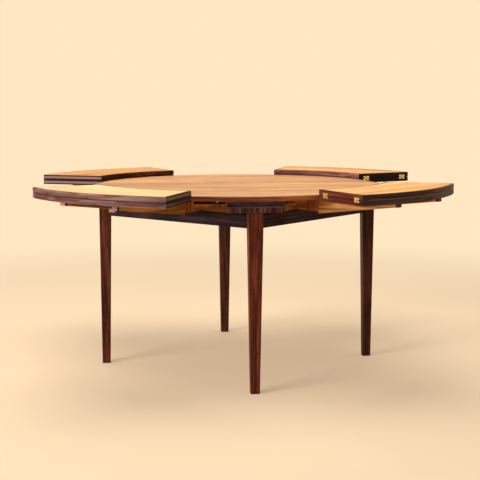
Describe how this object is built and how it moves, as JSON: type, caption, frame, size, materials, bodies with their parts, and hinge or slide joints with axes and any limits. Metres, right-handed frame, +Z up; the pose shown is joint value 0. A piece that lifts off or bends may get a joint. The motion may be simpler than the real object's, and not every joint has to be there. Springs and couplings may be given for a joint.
{
  "type": "round extending dining table",
  "caption": "Round dining table on tapered legs, with double leaves on sloping runners round its top. Each leaf's upper layer folds over on hinges and widens the ring.",
  "frame": {"origin": "on the floor, under the centre of the top", "axes": "+Z up; the legs stand on the X and Y axes and the leaves lie between them; the camera of the picture looks from about -Y"},
  "size_m": [1.6202, 1.6202, 0.757],
  "materials": {
    "rosewood": "oiled, satin",
    "rosewood_top": "oiled, satin",
    "rosewood_dark": "oiled, satin",
    "pale_veneer": "matt",
    "beech": "matt",
    "brass": "brushed"
  },
  "bodies": {
    "root": {"leg_left": "rosewood", "leg_front": "rosewood", "leg_right": "rosewood", "leg_back": "rosewood", "over_leg_block_left": "rosewood_dark", "over_leg_block_front": "rosewood_dark", "over_leg_block_right": "rosewood_dark", "over_leg_block_back": "rosewood_dark", "apron_front_left": "rosewood_dark", "apron_front_right": "rosewood_dark", "apron_back_right": "rosewood_dark", "apron_back_left": "rosewood_dark", "guide_rail_front_left_free_end": "beech", "guide_rail_front_left_hinge_end": "beech", "guide_rail_front_right_free_end": "beech", "guide_rail_front_right_hinge_end": "beech", "guide_rail_back_right_free_end": "beech", "guide_rail_back_right_hinge_end": "beech", "guide_rail_back_left_free_end": "beech", "guide_rail_back_left_hinge_end": "beech", "centre_box": "beech"},
    "top": {"top_panel": "rosewood_top", "top_edge_band": "rosewood", "top_peg_left": "beech", "top_peg_front": "beech", "top_peg_right": "beech", "top_peg_back": "beech"},
    "leaf_front_left": {"leaf_front_left": "rosewood", "runner_front_left_free_end": "beech", "runner_front_left_hinge_end": "beech", "leaf_hinge_front_left_inner": "brass", "leaf_hinge_front_left_outer": "brass"},
    "leaf_front_right": {"leaf_front_right": "rosewood", "runner_front_right_free_end": "beech", "runner_front_right_hinge_end": "beech", "leaf_hinge_front_right_inner": "brass", "leaf_hinge_front_right_outer": "brass"},
    "leaf_back_right": {"leaf_back_right": "rosewood", "runner_back_right_free_end": "beech", "runner_back_right_hinge_end": "beech", "leaf_hinge_back_right_inner": "brass", "leaf_hinge_back_right_outer": "brass"},
    "leaf_back_left": {"leaf_back_left": "rosewood", "runner_back_left_free_end": "beech", "runner_back_left_hinge_end": "beech", "leaf_hinge_back_left_inner": "brass", "leaf_hinge_back_left_outer": "brass"},
    "flap_front_left": {"flap_front_left": "pale_veneer", "flap_hinge_front_left_inner": "brass", "flap_hinge_front_left_outer": "brass"},
    "flap_front_right": {"flap_front_right": "pale_veneer", "flap_hinge_front_right_inner": "brass", "flap_hinge_front_right_outer": "brass"},
    "flap_back_right": {"flap_back_right": "pale_veneer", "flap_hinge_back_right_inner": "brass", "flap_hinge_back_right_outer": "brass"},
    "flap_back_left": {"flap_back_left": "pale_veneer", "flap_hinge_back_left_inner": "brass", "flap_hinge_back_left_outer": "brass"}
  },
  "joints": [
    {"name": "top_lift", "type": "slide", "parent": "root", "child": "top", "axis": [0, 0, 1], "range_m": [0, 0.045]},
    {"name": "leaf_slide_front_left", "type": "slide", "parent": "root", "child": "leaf_front_left", "axis": [-0.7014, -0.7014, 0.1271], "range_m": [-0.009, 0]},
    {"name": "leaf_slide_front_right", "type": "slide", "parent": "root", "child": "leaf_front_right", "axis": [0.7014, -0.7014, 0.1271], "range_m": [-0.009, 0]},
    {"name": "leaf_slide_back_right", "type": "slide", "parent": "root", "child": "leaf_back_right", "axis": [0.7014, 0.7014, 0.1271], "range_m": [-0.009, 0]},
    {"name": "leaf_slide_back_left", "type": "slide", "parent": "root", "child": "leaf_back_left", "axis": [-0.7014, 0.7014, 0.1271], "range_m": [-0.009, 0]},
    {"name": "flap_fold_front_left", "type": "hinge", "parent": "leaf_front_left", "child": "flap_front_left", "pos_m": [-0.68413, -0.28338, 0.737], "axis": [-0.9239, -0.3827, 0], "range_deg": [0, 180]},
    {"name": "flap_fold_front_right", "type": "hinge", "parent": "leaf_front_right", "child": "flap_front_right", "pos_m": [0.28338, -0.68413, 0.737], "axis": [0.3827, -0.9239, 0], "range_deg": [0, 180]},
    {"name": "flap_fold_back_right", "type": "hinge", "parent": "leaf_back_right", "child": "flap_back_right", "pos_m": [0.68413, 0.28338, 0.737], "axis": [0.9239, 0.3827, 0], "range_deg": [0, 180]},
    {"name": "flap_fold_back_left", "type": "hinge", "parent": "leaf_back_left", "child": "flap_back_left", "pos_m": [-0.28338, 0.68413, 0.737], "axis": [-0.3827, 0.9239, 0], "range_deg": [0, 180]}
  ]
}
